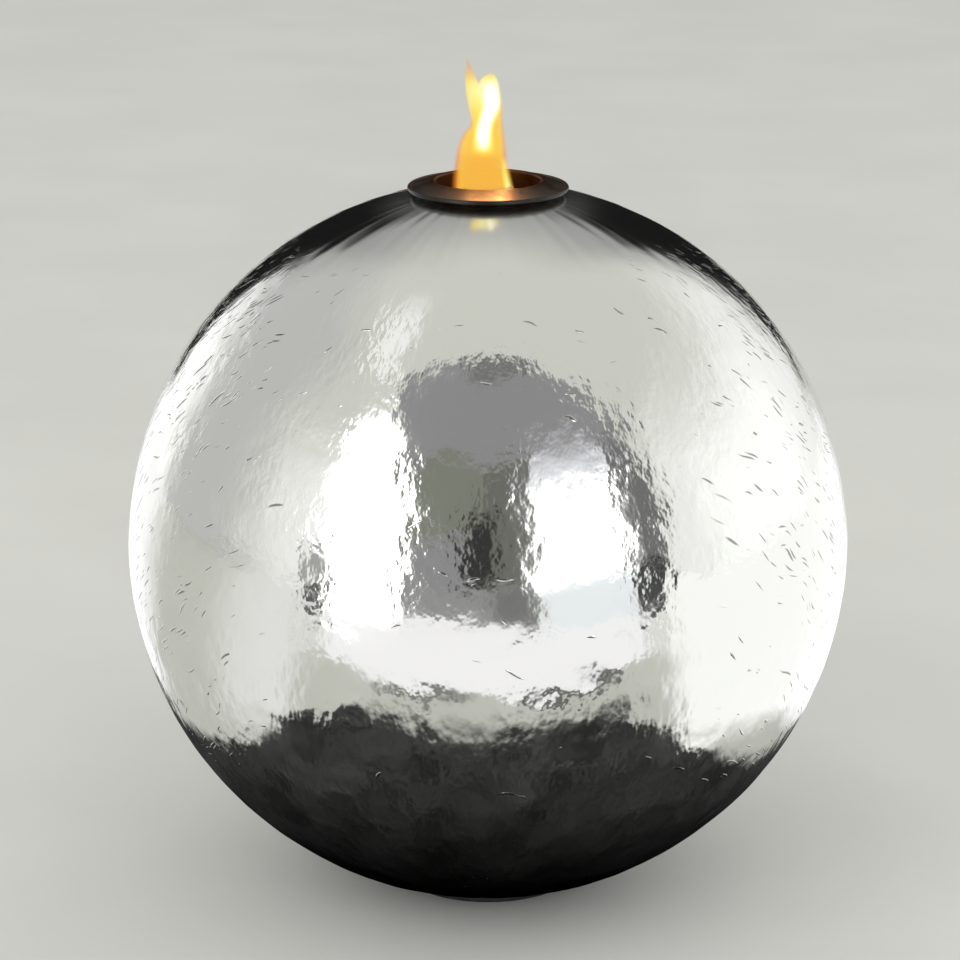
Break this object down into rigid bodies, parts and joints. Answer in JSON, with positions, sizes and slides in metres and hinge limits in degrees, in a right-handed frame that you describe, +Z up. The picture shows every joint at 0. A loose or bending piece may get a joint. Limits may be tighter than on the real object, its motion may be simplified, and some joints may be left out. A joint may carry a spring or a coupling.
{
  "type": "garden fire and water ball",
  "caption": "Mirror-polished steel garden ball with a film of water running over it and a lift-out oil burner in its top.",
  "frame": {"origin": "centre of the foot ring, on the surface that the ball stands on", "axes": "+Z up along the ball's axis, through inlet, riser, well, burner and wick; the front faces -Y"},
  "size_m": [0.3, 0.3, 0.302],
  "materials": {
    "polished_steel": "mirror-polished stainless steel, wetted by a running film of water",
    "brushed_ring_steel": "spun stainless steel, finely turned, darkened by heat near the mouth",
    "inner_steel": "plain mill-finish stainless steel",
    "tube_brass": "turned brass, dulled by heat",
    "black_rubber": "moulded EPDM rubber",
    "red_silicone": "moulded silicone rubber",
    "glass_fibre": "braided glass fibre, soaked with lamp oil and charred at the top"
  },
  "bodies": {
    "ball": {"upper_shell": "polished_steel", "lower_shell": "polished_steel", "seam_strip": "inner_steel", "base_pan": "inner_steel", "foot_ring": "black_rubber", "inlet_socket": "inner_steel", "riser_pipe": "inner_steel", "well_cup": "inner_steel", "flow_baffle": "inner_steel", "centring_fins": "inner_steel"},
    "burner": {"fuel_tank": "inner_steel", "tank_pads": "red_silicone", "cover_ring": "brushed_ring_steel", "plate_seat": "inner_steel", "plate_gasket": "red_silicone"},
    "wick_holder": {"wick_plate": "brushed_ring_steel", "wick_tube": "tube_brass", "tube_nut": "tube_brass"},
    "wick": {"wick_band": "inner_steel", "wick": "glass_fibre"}
  },
  "joints": [
    {"name": "burner_lift", "type": "slide", "parent": "ball", "child": "burner", "axis": [0, 0, 1], "range_m": [0, 0.095]},
    {"name": "wick_holder_lift", "type": "slide", "parent": "burner", "child": "wick_holder", "axis": [0, 0, 1], "range_m": [0, 0.085]},
    {"name": "wick_slide", "type": "slide", "parent": "wick_holder", "child": "wick", "axis": [0, 0, 1], "range_m": [-0.004, 0.008]}
  ]
}
